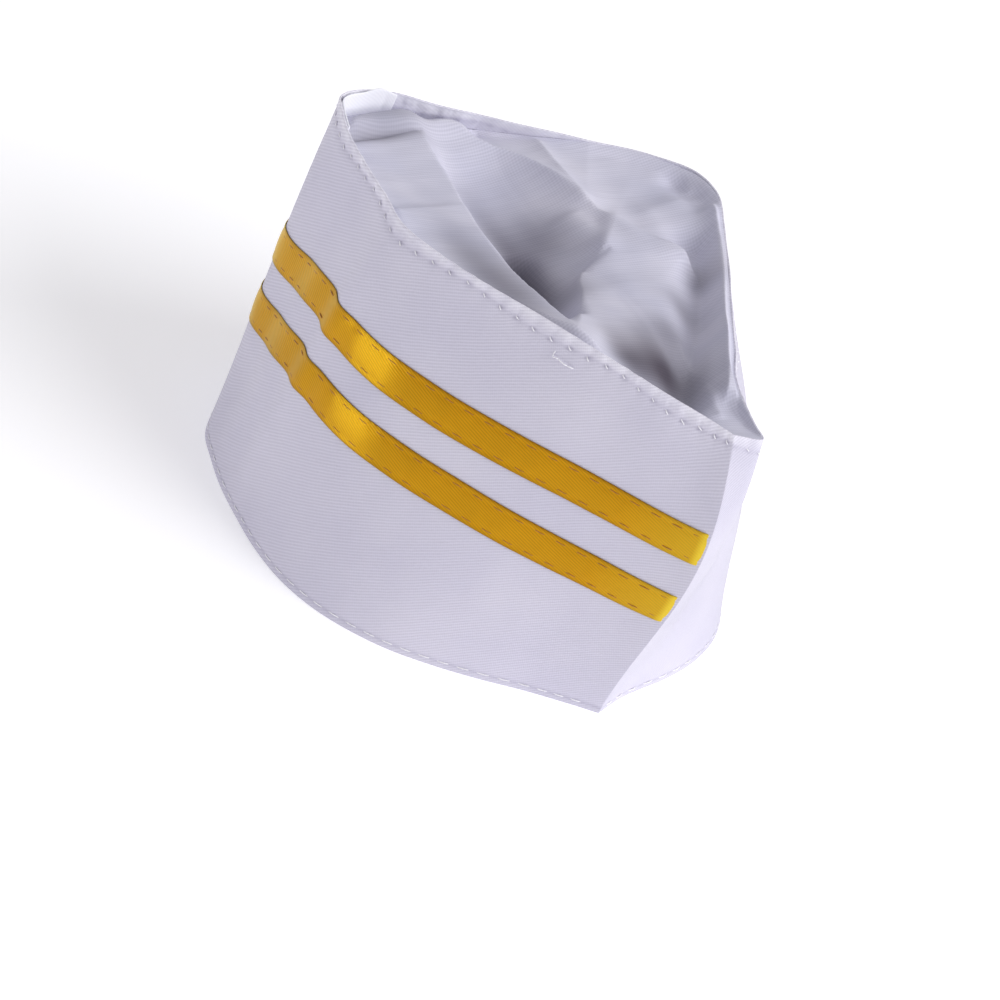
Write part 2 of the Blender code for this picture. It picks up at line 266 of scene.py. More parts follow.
def add_node(material, kind, links=(), stops=(), out=0, **settings):
    """Adds one node and gives back one of its outputs.

    Links are pairs of a source and a socket, stops are the places and colours of a colour ramp. Settings name
    the node's properties or, where it has none of that name, its sockets.
    """
    node = material.node_tree.nodes.new("ShaderNode" + kind)
    for key, value in settings.items():
        if hasattr(node, key):
            setattr(node, key, value)
        else:
            node.inputs[int(key[1:]) if key[1:].isdigit() else key.replace("_", " ")].default_value = value
    for source, target in links:
        material.node_tree.links.new(source, node.inputs[target])
    marks = node.color_ramp.elements if stops else ()
    while len(marks) < len(stops):
        marks.new(0.5)
    for mark, (place, colour) in zip(marks, stops):
        mark.position = place
        mark.color = linear(colour) if isinstance(colour, str) else colour
    return node.outputs[out]


def new_material(name, **settings):
    material = bpy.data.materials.new(name)
    material.use_nodes = True
    shader = material.node_tree.nodes["Principled BSDF"]
    for key, value in settings.items():
        shader.inputs[key.replace("_", " ")].default_value = value
    return material, shader


def paint(obj, material):
    obj.data.materials.clear()
    obj.data.materials.append(material)


# %% [markdown]
# ## Camera, floor and light
#
# The picture was taken from above one long side, with the camera rolled, so the cap seems to lean. The
# camera below stands at that angle: 33 degrees up, and rolled by 22 degrees. A long lens keeps the far side
# nearly as large as the near one. A white tent of light gives soft shade. A large window on the right lifts
# the plain side, a weaker one stands behind on the left, and a low strip lamp on the left puts the bright
# patch on the satin. The white table is lit a little from below, which keeps the floor pale.

# %% Camera
AZIMUTH, ELEVATION, ROLL = math.radians(49.5), math.radians(33.0), math.radians(22.0)
AIM = Vector((-0.0125, 0.0203, 0.0)) - Vector(BOX_MIDDLE)
DISTANCE = 1.5
LENS = 155.25  # millimetres, on the usual sensor of 36 mm


def stand_up(name, data, place, turn):
    """Puts a camera or a lamp at its place. It looks against its own Z axis."""
    obj = bpy.data.objects.new(name, data)
    obj.matrix_world = Matrix.Translation(place) @ turn.to_4x4()
    bpy.context.collection.objects.link(obj)
    return obj


across = Vector((math.cos(AZIMUTH), math.sin(AZIMUTH), 0))
level = Vector((math.sin(AZIMUTH), -math.cos(AZIMUTH), 0))
toward = level * math.cos(ELEVATION) + Vector((0, 0, math.sin(ELEVATION)))
upward = toward.cross(across)
right = across * math.cos(ROLL) + upward * math.sin(ROLL)
above = upward * math.cos(ROLL) - across * math.sin(ROLL)
camera_data = bpy.data.cameras.new("camera")
camera_data.lens = LENS
camera_data.clip_end = 100
turn = Matrix((right, above, toward)).transposed()
camera = stand_up("camera", camera_data, AIM + DISTANCE * toward, turn)
bpy.context.scene.camera = camera
print("camera at", tuple(round(x, 3) for x in camera.location))

# %% Floor
FLOOR_SIZE = 12
FLOOR_GLOW = 0.27  # how strongly the table is lit from below
bpy.ops.object.select_all(action="DESELECT")
bpy.ops.mesh.primitive_plane_add(size=FLOOR_SIZE, location=(0, 0, 0))
floor = bpy.context.object
floor.name = "floor"
white = {"Base_Color": linear("#F9F9FB"), "Emission_Color": linear("#FFFFFF")}
light_table, _ = new_material("White light table", Roughness=0.9, Emission_Strength=FLOOR_GLOW, **white)
paint(floor, light_table)

# %% Light
bpy.context.scene.view_settings.view_transform = "Standard"
world = bpy.data.worlds.new("light tent")
world.use_nodes = True
tent = world.node_tree.nodes["Background"].inputs
tent["Color"].default_value = linear("#FCFBFF")
tent["Strength"].default_value = 0.50
bpy.context.scene.world = world


def aim_lamp(name, kind, heading, height, distance, **settings):
    """A lamp that looks at the cap, at so many degrees to the right of the camera and above the floor."""
    data = bpy.data.lights.new(name, kind)
    for key, value in settings.items():
        setattr(data, key, value)
    heading, height = math.radians(heading), math.radians(height)
    flat = level * math.cos(heading) + across * math.sin(heading)
    place = (flat * math.cos(height) + Vector((0, 0, math.sin(height)))) * distance
    stand_up(name, data, place, place.to_track_quat("Z", "Y").to_matrix())


aim_lamp("large key window", "SUN", 76, 31, distance=3.0, energy=2.2, angle=math.radians(50))
aim_lamp("rear left window", "SUN", -112, 32, distance=3.0, energy=0.10, angle=math.radians(30))
strip = {"shape": "RECTANGLE", "size": 0.26, "size_y": 0.07}
aim_lamp("low strip lamp", "AREA", -55, 3.3, distance=0.70, energy=0.44, **strip)

# %% [markdown]
# ## White twill
#
# The band is cotton twill, whose threads pass over and under in steps, so fine slanted ribs run over it. On
# this cap they lie about 1 mm apart and climb at 29 degrees towards the rear crease. The rib pattern reads
# the flat UV map of the strip, in metres, so it bends with the cloth. A weaker cross thread and a slow change
# of tone keep it from looking printed.

# %% Helpers for woven cloth
WAVE_PERIOD = 2 * math.pi / 20  # a wave texture of scale 1 repeats after this length
BANDS = {"wave_type": "BANDS", "Detail": 1.0, "out": "Fac"}
MULTIPLY = {"data_type": "RGBA", "blend_type": "MULTIPLY", "_0": 1.0, "out": 2}


def mix_patterns(material, main, *others):
    """The main pattern plus a share of each other one, brought back to between 0 and 1."""
    level = main
    for pattern, share in others:
        level = add_node(material, "Math", [(pattern, 0), (level, 2)], operation="MULTIPLY_ADD", _1=share)
    total = 1 + sum(share for _, share in others)
    return add_node(material, "Math", [(level, 0)], operation="MULTIPLY", _1=1 / total)


def finish_cloth(material, shader, level, tints, strength, distance):
    """Multiplies the tints, each a pattern and its colours, and lets the threads stand out by a bump."""
    colour = None
    for pattern, stops in tints:
        tint = add_node(material, "ValToRGB", [(pattern, 0)], stops)
        colour = add_node(material, "Mix", [(colour, 6), (tint, 7)], **MULTIPLY) if colour else tint
    relief = add_node(material, "Bump", [(level, "Height")], Strength=strength, Distance=distance)
    material.node_tree.links.new(colour, shader.inputs["Base Color"])
    material.node_tree.links.new(relief, shader.inputs["Normal"])
    return colour


# %% Twill material
RIB_PITCH = 0.00105
RIB_SLOPE = math.radians(29)
PLAIN_SHADE = 0.2  # painted shade of cloth that no seam touches, on the "seam" attribute: 0 is the painted highlight of the turned rim, 1 the darkest painted shade


def twill_material(name, tone, shade, rib_depth):
    cloth, shader = new_material(
        name, Roughness=0.9, Specular_IOR_Level=0.25, Sheen_Weight=0.35, Sheen_Roughness=0.3
    )
    chart = add_node(cloth, "UVMap", uv_map="cloth")
    turned = add_node(cloth, "Mapping", [(chart, 0)], Rotation=(0, 0, RIB_SLOPE - math.pi / 2))
    ribs, threads = (
        add_node(
            cloth, "TexWave", [(turned, 0)], bands_direction=direction, Scale=WAVE_PERIOD / pitch,
            Distortion=bend, Detail_Scale=bend_size, **BANDS,
        )
        for direction, pitch, bend, bend_size in (("X", RIB_PITCH, 1.2, 0.35), ("Y", 0.6 * RIB_PITCH, 2.0, 0.4))
    )
    fuzz = add_node(cloth, "TexNoise", [(chart, 0)], Scale=1400.0, Detail=3.0)
    slow = add_node(cloth, "TexNoise", [(chart, 0)], Scale=22.0, Detail=3.0)
    # Painted shade of the seams and painted highlight of the turned rim, read from the "seam" attribute.
    seam = add_node(cloth, "Attribute", attribute_name="seam", out="Fac")
    level = mix_patterns(cloth, ribs, (threads, 0.35), (fuzz, 0.9))
    tints = (
        (level, ((0.2, shade), (0.75, tone))),
        (slow, ((0.3, "#F4F4F8"), (0.7, "#FFFFFF"))),
        (seam, ((0.0, "#FFFFFF"), (PLAIN_SHADE, "#E6E5EB"), (1.0, "#B4B1C0"))),
    )
    finish_cloth(cloth, shader, level, tints, strength=rib_depth, distance=0.0003)
    return cloth


# The lining and the tape are the same cotton in a finer weave, so they look smoother. They are also painted
# whiter, as painted light on the inside of the band and on the lapped end.
white_twill = twill_material("White cotton twill", "#F0EEF6", "#DEDBE5", 0.30)
lining_painted_lighter = twill_material("White cotton lining, painted lighter", "#F8F7FC", "#F2F1F8", 0.10)
tape_painted_lighter = twill_material("White cotton tape, painted lighter", "#FBFBFF", "#F6F6FC", 0.10)

# %% [markdown]
# ## The band
#
# On the real cap the band is one strip about 55 cm long, folded double along the rim, with a stiff layer
# inside. It could be built from two panels, but one grid that runs round the whole cap keeps the cloth in one
# piece and closes at the rear crease. The rows lie close together near the rim and the hem, where stitching
# pulls small furrows into the cloth. Solidify then gives the folded cloth its thickness of 1.1 mm, and Bevel
# rounds the folded edges.

# %% Places on the strip
RIM_SEAM = 0.0042  # rim to its row of stitches
RIM_WANDER, WANDER_START, WANDER_LENGTH = 0.0010, 0.0815, 0.0563  # the row wanders up and down by this much
HEM_SEAM = 0.0022  # base edge to its row of stitches
RIM_PITCH = 0.0066
HEM_PITCH = 0.0067
BAND_GRID = (830, 50)
ROW_SHARES, ROW_HEIGHTS = (0, 0.16, 0.66, 1), (0, 0.045, 0.915, 1)


def ring_place(u):
    """Which side a point of the strip is on, and its share along that side. u runs once round the cap."""
    round_trip = (1 - u) * 2
    striped = round_trip <= 1
    return striped, np.where(striped, round_trip, 2 - round_trip)


def strip_run(u):
    """Distance along the strip, from the rear crease over the striped side and back over the plain one."""
    striped, along = ring_place(u)
    back = STRIP_LENGTH - np.interp(along, SHARES, PLAIN_RUN)
    return np.where(striped, striped_run(along), back)


def strip_length(u):
    striped, along = ring_place(u)
    return np.where(striped, length_at(STRIPED_SIDE, along), length_at(PLAIN_SIDE, along))


def row_height(v):
    """Share of the wall's height for a row of the grid: rows are close together at the hem and the rim."""
    return np.interp(v, ROW_SHARES, ROW_HEIGHTS)


def on_strip(u, height):
    """Points of the wall's outer skin, and the directions in which it faces there."""
    striped, along = ring_place(u)
    points, normals = np.empty((2, len(u), 3))
    for side, here in ((STRIPED_SIDE, striped), (PLAIN_SIDE, ~striped)):
        if here.any():
            points[here] = wall_points(side, along[here], height[here])
            normals[here] = wall_normals(side, along[here], height[here])
    return points, normals


def off_strip(u, height, lift):
    """Points that stand off the wall's outer skin by lift."""
    points, normals = on_strip(u, height)
    return points + np.asarray(lift)[..., None] * normals


# %% Fine relief of the band
# What the rim seam does to the cloth. Columns: line below the rim, as a share of the seam's distance and
# metres to add, width in metres, and depth in millimetres between two stitches and at a stitch.
RIM_FURROWS = (
    (1.0, 0.0000, 0.0009, 0.16, 0.42),  # the seam itself
    (0.5, 0.0000, 0.0014, -0.20, 0.14),  # puckers between the seam and the rim
    (0.0, 0.0007, 0.0009, -0.22, -0.22),  # the turned edge stands out
    (1.0, 0.0026, 0.0020, -0.14, 0.00),  # the cloth swells below the seam
)
PUCKER_DEPTH = 0.12
HEM_FURROW, HEM_PULL = 0.14, 0.10
# Slow waves of the rim. Columns: depth in millimetres, turns in radians per metre, start in radians, distance
# from the rim and width in metres.
RIM_WAVES = ((0.16, 95, 0.6, 0.006, 0.010), (0.10, 210, 2.0, 0.001, 0.004))
PLAIN_CALM = 0.2  # the plain side was sewn more evenly
CREASE_SHARE = 0.01  # the relief fades out this close to a crease
# Painted shade along the seams, where shade falls in their furrows: the rim seam's, what each of its stitches
# adds, the hem's, and the width of the painted line.
RIM_SHADE, STITCH_SHADE, HEM_SHADE, SHADE_WIDTH = 0.08, 0.30, 0.30, 0.0006


def furrow(distance, line, width):
    return np.exp(-(((distance - line) / width) ** 2))


def beat(run, pitch):
    """0 half way between two stitches, 1 at a stitch."""
    return (0.5 + 0.5 * np.cos(2 * np.pi * (run / pitch - 0.5))) ** 2


def rim_seam(run):
    """Distance from the rim to its row of stitches."""
    return RIM_SEAM + RIM_WANDER * np.cos(2 * np.pi * (run - WANDER_START) / WANDER_LENGTH)


def band_relief(run, above_base, below_rim):
    """How far the stitching draws the cloth in, in metres."""
    rim = np.zeros_like(run)
    for share, offset, width, between, at_stitch in RIM_FURROWS:
        line = share * rim_seam(run) + offset
        rim += furrow(below_rim, line, width) * (between + (at_stitch - between) * beat(run, RIM_PITCH))
    puckers = PUCKER_DEPTH * np.sin(run * 1500 + 3 * np.sin(run * 420))
    rim += furrow(below_rim, 0.5 * rim_seam(run), 0.0014) * puckers
    rest = furrow(above_base, HEM_SEAM, 0.0009) * (HEM_FURROW + HEM_PULL * beat(run, HEM_PITCH))
    for depth, turns, start, line, width in RIM_WAVES:
        rest += depth * np.sin(run * turns + start) * furrow(below_rim, line, width)
    return (np.where(run > FRONT_CREASE, PLAIN_CALM, 1.0) * rim + rest) / 1000


def painted_seam_shade_and_rim_highlight(u, v):
    """Painted shade and highlight: towards 1 in the painted shade of the seams' furrows and stitches, 0 in the
    painted highlight along the turned rim.
    """
    run, height, length = strip_run(u), row_height(v), strip_length(u)
    below_rim = (1 - height) * length
    rim = furrow(below_rim, rim_seam(run), SHADE_WIDTH) * (RIM_SHADE + STITCH_SHADE * beat(run, RIM_PITCH))
    hem = furrow(height * length, HEM_SEAM, SHADE_WIDTH) * HEM_SHADE
    # Uneven patches in the painted highlight along the turned rim.
    highlight_patches = 0.7 + 0.3 * np.sin(run * 640) * np.sin(run * 273 + 1)
    return PLAIN_SHADE * (1 - highlight_patches * furrow(below_rim, 0.0004, 0.0026)) + rim + hem


# %% Cut and wrap the band
def band_place(u, v):
    height, length = row_height(v), strip_length(u)
    relief = band_relief(strip_run(u), height * length, (1 - height) * length)
    crease = np.minimum(np.abs(u), np.minimum(np.abs(u - 1), np.abs(u - 0.5)))
    return off_strip(u, height, -relief * np.clip(crease / CREASE_SHARE, 0, 1))


def band_chart(u, v):
    return strip_run(u), row_height(v) * strip_length(u)


# The "seam" attribute holds the painted seam shade and the painted rim highlight.
band = grid_cloth("band_cloth", BAND_GRID, band_place, band_chart, [("seam", painted_seam_shade_and_rim_highlight)])
paint(band, white_twill)
band.data.materials.append(lining_painted_lighter)
only(band)
bpy.ops.object.mode_set(mode="EDIT")
bpy.ops.mesh.select_all(action="SELECT")
bpy.ops.mesh.remove_doubles(threshold=0.00002)  # closes the strip at the rear crease
bpy.ops.object.mode_set(mode="OBJECT")
thicken(band, WALL_THICKNESS).material_offset = 1
round_edges(band, width=0.0006, segments=3)
apply_all(band)
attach(band, "root")
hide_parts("band")
print("band faces", len(band.data.polygons))

# %% [markdown]
# ## Golden ribbons
#
# Both ribbons are polyester satin, 12.7 mm wide, stitched down along each edge. Satin floats long threads on
# its face, so it shines along the cloth and shows a very fine slanted line. A ribbon swells a little between
# its two seams and dips at each stitch. It is cut as a long grid, laid on the wall, and its ends are turned
# under beside the creases.

# %% Ribbon sizes
RIBBON_WIDTH = 0.0127
RIBBON_SPACE = 0.0113
RIBBON_FROM_RIM = (0.0370, 0.0370 + RIBBON_WIDTH + RIBBON_SPACE)  # upper edge of the upper and the lower one
RIBBON_INSET = 0.0006  # crease to the turned end
RIBBON_THICKNESS = 0.0004
RIBBON_GAP = 0.0001  # wall to the back of the ribbon
RIBBON_SEAM = 0.0019  # ribbon edge to its stitches
RIBBON_PITCH = 0.0076
RIBBON_STITCH = 0.0056  # length of one of its stitches
RIBBON_GRID = (260, 14)
# Columns: along, how much further from the rim the upper ribbon lies there, and the lower one, in metres.
RIBBON_DRIFT = (
    (0.00, -0.0031, 0.0004), (0.08, -0.0012, 0.0013), (0.17, -0.0003, 0.0014), (0.28, 0.0009, 0.0007),
    (0.40, 0.0002, -0.0005), (0.50, 0.0002, -0.0002), (0.56, 0.0021, 0.0019), (0.62, 0.0063, 0.0062),
    (0.68, 0.0105, 0.0105), (0.74, 0.0124, 0.0124), (0.80, 0.0125, 0.0125), (1.00, 0.0125, 0.0125),
)


def ribbon_height(along, number, across):
    """Share of the wall's height, across below the upper edge of ribbon 0 or 1."""
    distance = RIBBON_FROM_RIM[number] + smooth_column(RIBBON_DRIFT, number + 1, along) + across
    return 1 - distance / length_at(STRIPED_SIDE, along)


def ribbon_along(u):
    """Share along the striped side. u runs from the front crease to the rear one."""
    return striped_along(FRONT_CREASE - RIBBON_INSET - (FRONT_CREASE - 2 * RIBBON_INSET) * u)


# %% Satin material
FLOAT_PITCH = 0.0009  # coarser than the real threads, so that the slanted lines show at this size
FLOAT_SLOPE = math.radians(70)
END_HIGHLIGHT_LENGTH = 0.03  # over this length a painted highlight makes a ribbon paler towards the rear crease, where it is folded under
# The tint across a ribbon. Its edges are painted a little darker, as painted shade where they lie against the
# wall.
EDGE_TINTS = ((0.0, "#C88A60"), (0.04, "#E6C09A"), (0.10, "#FFFFFF"))
EDGE_TINTS += tuple((1 - place, tint) for place, tint in EDGE_TINTS[::-1])
END_HIGHLIGHT_STOPS = ((0.06, (0.9, 0.9, 0.9, 1)), (0.13, (0.3, 0.3, 0.3, 1)), (1.0, (0, 0, 0, 1)))


def satin_material():
    """Its shine is yellower than its threads, hence a specular tint above 1 in green."""
    satin, shader = new_material(
        "Golden polyester satin", Roughness=0.30, Metallic=0.50, IOR=1.7, Specular_IOR_Level=0.7,
        Specular_Tint=(1.0, 3.4, 0.2, 1.0), Anisotropic=0.92, Anisotropic_Rotation=0.25,
    )
    chart = add_node(satin, "UVMap", uv_map="cloth")
    threads = add_node(satin, "Tangent", direction_type="UV_MAP", uv_map="cloth")
    satin.node_tree.links.new(threads, shader.inputs["Tangent"])
    turned = add_node(satin, "Mapping", [(chart, 0)], Rotation=(0, 0, FLOAT_SLOPE))
    floats = add_node(
        satin, "TexWave", [(turned, 0)], bands_direction="X", Scale=WAVE_PERIOD / FLOAT_PITCH,
        Distortion=1.0, Detail_Scale=0.3, **BANDS,
    )
    uneven = add_node(satin, "TexNoise", [(chart, 0)], Scale=60.0, Detail=3.0)
    from_end, from_edge = (
        add_node(
            satin, "Math", [(add_node(satin, "SeparateXYZ", [(chart, 0)], out=axis), 0)],
            operation="MULTIPLY", _1=1 / whole,
        )
        for axis, whole in ((0, END_HIGHLIGHT_LENGTH), (1, RIBBON_WIDTH))
    )
    tints = (
        (floats, ((0.1, "#C46201"), (0.8, "#E07A02"))),
        (uneven, ((0.35, "#F3EADA"), (0.7, "#FFFFFF"))),
        (from_edge, EDGE_TINTS),
    )
    colour = finish_cloth(satin, shader, floats, tints, strength=0.18, distance=0.0002)
    # Painted highlight: towards the rear crease the colour is mixed with a pale gold.
    end_highlight = add_node(satin, "ValToRGB", [(from_end, 0)], END_HIGHLIGHT_STOPS)
    highlighted_colour = add_node(
        satin, "Mix", [(end_highlight, 0), (colour, 6)], data_type="RGBA", _7=linear("#F8C23E"), out=2
    )
    satin.node_tree.links.new(highlighted_colour, shader.inputs["Base Color"])
    return satin


golden_satin = satin_material()


# %% Lay the ribbons
RIBBON_SWELL, SWELL_DRIFT = 0.00018, 0.00008  # how far it swells between its seams, and how much that varies
SEAM_SINK, STITCH_LIFT = 0.00016, 0.00010  # how far its seams sink in, and how much less at a stitch
END_SINK, END_LENGTH = 0.00075, 0.0026  # the turned ends curve down to the wall


def ribbon_lift(run, across):
    """How far a ribbon's face stands off the wall. across runs from 0 to RIBBON_WIDTH."""
    edge = np.minimum(across, RIBBON_WIDTH - across)
    at_stitch = 0.5 - 0.5 * np.cos(2 * np.pi * run / RIBBON_PITCH)
    swell = RIBBON_SWELL * np.sin(np.pi * np.clip(across / RIBBON_WIDTH, 0, 1))
    swell += SWELL_DRIFT * np.sin(run * 61) * np.sin(np.pi * across / RIBBON_WIDTH)
    stitched = furrow(edge, RIBBON_SEAM, 0.0008) * (SEAM_SINK - STITCH_LIFT * at_stitch)
    to_end = np.minimum(run, FRONT_CREASE - run) - RIBBON_INSET
    turned = END_SINK * np.clip(1 - to_end / END_LENGTH, 0, 1) ** 2
    return RIBBON_THICKNESS + RIBBON_GAP + swell - stitched - turned


def lay_ribbon(name, number):
    def place(u, v):
        along, across = ribbon_along(u), (1 - v) * RIBBON_WIDTH
        height = ribbon_height(along, number, across)
        return off_wall(STRIPED_SIDE, along, height, ribbon_lift(striped_run(along), across))

    def chart(u, v):
        return striped_run(ribbon_along(u)), v * RIBBON_WIDTH

    ribbon = grid_cloth(name, RIBBON_GRID, place, chart)
    thicken(ribbon, RIBBON_THICKNESS)
    round_edges(ribbon, width=0.00018, segments=2)
    apply_all(ribbon)
    paint(ribbon, golden_satin)
    return ribbon


upper = lay_ribbon("upper_ribbon_cloth", 0)
lower = lay_ribbon("lower_ribbon_cloth", 1)
for ribbon, node in ((upper, "upper_ribbon"), (lower, "lower_ribbon")):
    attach(ribbon, "root")
    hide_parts(node)
    print(ribbon.name, "faces", len(ribbon.data.polygons))

# %% [markdown]
# ## Crown cloth
#
# The crown is a thin white voile, cut to the shape of the rim and a little larger. It is sewn to the inside
# of the band a few millimetres below the edge. The spare cloth has to go somewhere, so it falls into folds: a
# long crease beside the striped side, a deep pocket next to it, a soft swelling and two long ridges. Cloth
# simulation could drop a sheet between the walls, but the folds would land at random. Here every fold is one
# row of a table, so it lies where the real one lies.

# %% Crown sizes and folds
CROWN_HEM = 0.0015  # how far the cloth drops beside its seam
CROWN_SAG = 0.0060  # how far its middle hangs below its edge
FOLD_RISE = 0.0060
HEM_SHARE = 0.07  # the outer share of the crown in which it comes free of its seam
PILE_FROM, PILE_LIMIT = 0.9, 0.5  # where folds cross, the cloth does not pile up
CROWN_GRID = (300, 160)
WRINKLE, FINE_WRINKLE = 0.00012, 0.00005
CROWN_MIDDLE = np.array((0.008, 0.000)) - np.array(BOX_MIDDLE[:2])
VOILE_THICKNESS = 0.0004

# How far below the rim the crown is sewn, in millimetres, by place round the strip: 0 is the rear crease, 0.5
# the front one, and the plain side lies between them.
CROWN_DEPTH = (
    (0.00, 0.3), (0.03, 0.05), (0.30, 0.05), (0.35, 0.8), (0.38, 0.05), (0.42, 0.3), (0.46, 4.0), (0.50, 7.0),
    (0.56, 7.5), (0.60, 9.0), (0.665, 10.0), (0.70, 7.0), (0.74, 4.0), (0.97, 2.5), (1.00, 0.5),
)

# Columns: the line of the fold, width on its striped side, width on its plain side, rise, crispness. Places
# and widths are shares of HALF_LENGTH and HALF_WIDTH, rise is a share of FOLD_RISE, and crispness is 2 for a
# soft roll and 1 for a pressed crease.
CROWN_FOLDS = {
    "front groove": (((-0.83, -0.66), (-0.84, -0.40), (-0.79, -0.02)), 0.05, 0.08, -1.3, 2.0),
    "front roll": (((-0.72, -0.60), (-0.74, -0.50), (-0.745, -0.38)), 0.04, 0.06, 0.62, 2.2),
    "roll tail": (((-0.745, -0.34), (-0.74, -0.10)), 0.04, 0.07, 0.50, 2.0),
    "roll foot": (((-0.64, -0.70), (-0.67, -0.54), (-0.685, -0.42), (-0.69, -0.33)), 0.025, 0.025, -0.45, 1.3),
    "main crease": (
        ((-0.66, -0.33), (-0.44, -0.35), (-0.04, -0.42), (0.21, -0.42), (0.38, -0.40), (0.53, -0.39)),
        0.40, 0.055, 1.00, 1.0,
    ),
    "left step": (((-0.14, -0.74), (-0.18, -0.58), (-0.20, -0.46)), 0.10, 0.03, 0.16, 1.4),
    "deep valley": (((-0.48, -0.22), (-0.15, -0.23), (0.12, -0.22)), 0.08, 0.22, -1.15, 2.0),
    "pocket": (((-0.06, -0.20), (0.10, -0.22), (0.25, -0.26), (0.38, -0.31)), 0.045, 0.06, -1.9, 2.2),
    "swelling edge": (
        ((0.02, 0.10), (0.06, 0.04), (0.13, -0.06), (0.25, -0.14), (0.36, -0.22), (0.50, -0.33)),
        0.030, 0.30, 1.05, 1.2,
    ),
    "swelling": (((0.30, 0.08), (0.62, 0.00)), 0.20, 0.26, 0.50, 2.0),
    "near dip": (((0.62, -0.20), (0.92, -0.08)), 0.10, 0.12, -0.45, 2.0),
    "long ridge": (
        (
            (-0.75, -0.17), (-0.68, -0.09), (-0.56, 0.06), (-0.33, 0.17), (-0.17, 0.22), (-0.03, 0.29),
            (0.08, 0.42),
        ),
        0.07, 0.08, 0.90, 1.0,
    ),
    "ridge end": (((-0.12, 0.23), (-0.01, 0.28), (0.07, 0.36), (0.12, 0.46)), 0.05, 0.06, 0.40, 1.0),
    "valley slope": (((-0.20, 0.10), (-0.10, 0.13), (-0.03, 0.12)), 0.07, 0.06, 0.45, 2.0),
    "short ridge": (((-0.70, 0.20), (-0.51, 0.19), (-0.30, 0.18)), 0.05, 0.08, 0.45, 1.0),
    "side valley": (
        ((0.00, 0.56), (0.18, 0.47), (0.29, 0.40), (0.42, 0.31), (0.62, 0.13), (0.82, 0.00)),
        0.10, 0.05, -1.20, 2.0,
    ),
    "wall ridge": (((-0.16, 0.70), (0.12, 0.58), (0.42, 0.39), (0.84, 0.13)), 0.035, 0.05, 0.70, 1.3),
    "pinch": (((0.10, -0.04), (0.05, 0.05), (0.02, 0.11)), 0.018, 0.018, -0.32, 1.3),
    "corner dip": (((-0.35, 0.68), (-0.18, 0.70)), 0.07, 0.07, -0.60, 2.0),
    "corner crease": (((-0.46, 0.74), (-0.30, 0.70)), 0.03, 0.03, 0.30, 1.0),
    "corner ridge": (((-0.20, 0.46), (-0.24, 0.70)), 0.10, 0.06, 0.32, 1.7),
    "rear fold": (((0.50, 0.16), (0.92, 0.06)), 0.03, 0.03, 0.20, 1.3),
}


def fold_height(x, y):
    """The sum of all folds at a place of the crown, in metres."""
    x, y = x + BOX_MIDDLE[0], y + BOX_MIDDLE[1]
    total = np.zeros_like(x)
    for line, striped_width, plain_width, rise, crispness in CROWN_FOLDS.values():
        line = np.array(line) * (HALF_LENGTH, HALF_WIDTH)
        chord = line[-1] - line[0]
        length = np.linalg.norm(chord)
        chord = chord / length
        left = np.array((-chord[1], chord[0]))
        bends = np.stack(((line - line[0]) @ chord, (line - line[0]) @ left), -1)
        ahead = (x - line[0, 0]) * chord[0] + (y - line[0, 1]) * chord[1]
        aside = (x - line[0, 0]) * left[0] + (y - line[0, 1]) * left[1]
        aside = aside - smooth_column(bends, 1, np.clip(ahead, 0, length))
        past = np.maximum(0, np.maximum(-ahead, ahead - length))
        width = np.where(aside < 0, striped_width, plain_width) * HALF_WIDTH
        end_width = 0.7 * max(striped_width, plain_width) * HALF_WIDTH
        total += rise * np.exp(-(np.abs(aside / width) ** crispness) - (past / end_width) ** 2)
    excess = np.maximum(total - PILE_FROM, 0)
    return FOLD_RISE * (total - excess * excess / (excess + PILE_LIMIT))


def soft_step(share):
    """0 below 0, 1 above 1, and a smooth rise between them."""
    share = np.clip(share, 0, 1)
    return share * share * (3 - 2 * share)


def crown_height(edge_z, x, y, reach):
    free = soft_step((1 - reach) / HEM_SHARE)
    wrinkles = WRINKLE * np.sin(x * 150 + 60 * y) * np.sin(y * 410 - 90 * x)
    wrinkles += FINE_WRINKLE * np.sin(x * 520 + y * 130)
    return edge_z - CROWN_HEM * free - CROWN_SAG * (1 - reach**2) + (fold_height(x, y) + wrinkles) * free


# %% Crown edge
RING = 1440  # directions in which the crown's edge is known
EDGE_STEPS = 1201
SMOOTH_STEPS = 24  # 6 degrees to each side
SHARP_SHARE = 0.15  # the outer share of the crown that follows the rim's sharp corners


def crown_edge(first, last):
    """Direction, reach and height of the crown's sewn edge along one side of the strip."""
    u = np.linspace(first, last, EDGE_STEPS)
    depth = np.interp(u, *np.array(CROWN_DEPTH).T) / 1000
    striped, _ = ring_place(u)
    inset = np.where(striped, WALL_THICKNESS - 0.0002, 0.45 * WALL_THICKNESS)  # it ends inside the wall
    edge = off_strip(u, 1 - depth / strip_length(u), -inset)
    plan = (edge[:, :2] - CROWN_MIDDLE) / (HALF_LENGTH, HALF_WIDTH)
    direction = np.unwrap(np.arctan2(plan[:, 1], plan[:, 0]))
    order = np.argsort(direction)
    return direction[order], np.hypot(plan[:, 0], plan[:, 1])[order], edge[order, 2]


def crown_ring():
    """The crown's edge in each direction. Where the two sides overlap in a crease, the nearer one counts."""
    directions = np.linspace(-np.pi, np.pi, RING + 1)
    reach, height = np.full(RING + 1, np.inf), np.zeros(RING + 1)
    for known, reaches, heights in (crown_edge(0.5, 1), crown_edge(0, 0.5)):
        for turn in (-2 * np.pi, 0, 2 * np.pi):
            here = np.interp(directions + turn, known, reaches, left=np.inf, right=np.inf)
            nearer = here < reach
            reach[nearer] = here[nearer]
            height[nearer] = np.interp(directions + turn, known, heights)[nearer]
    print("open directions in the crown's edge", int(np.isinf(reach).sum()))
    return directions, reach, height


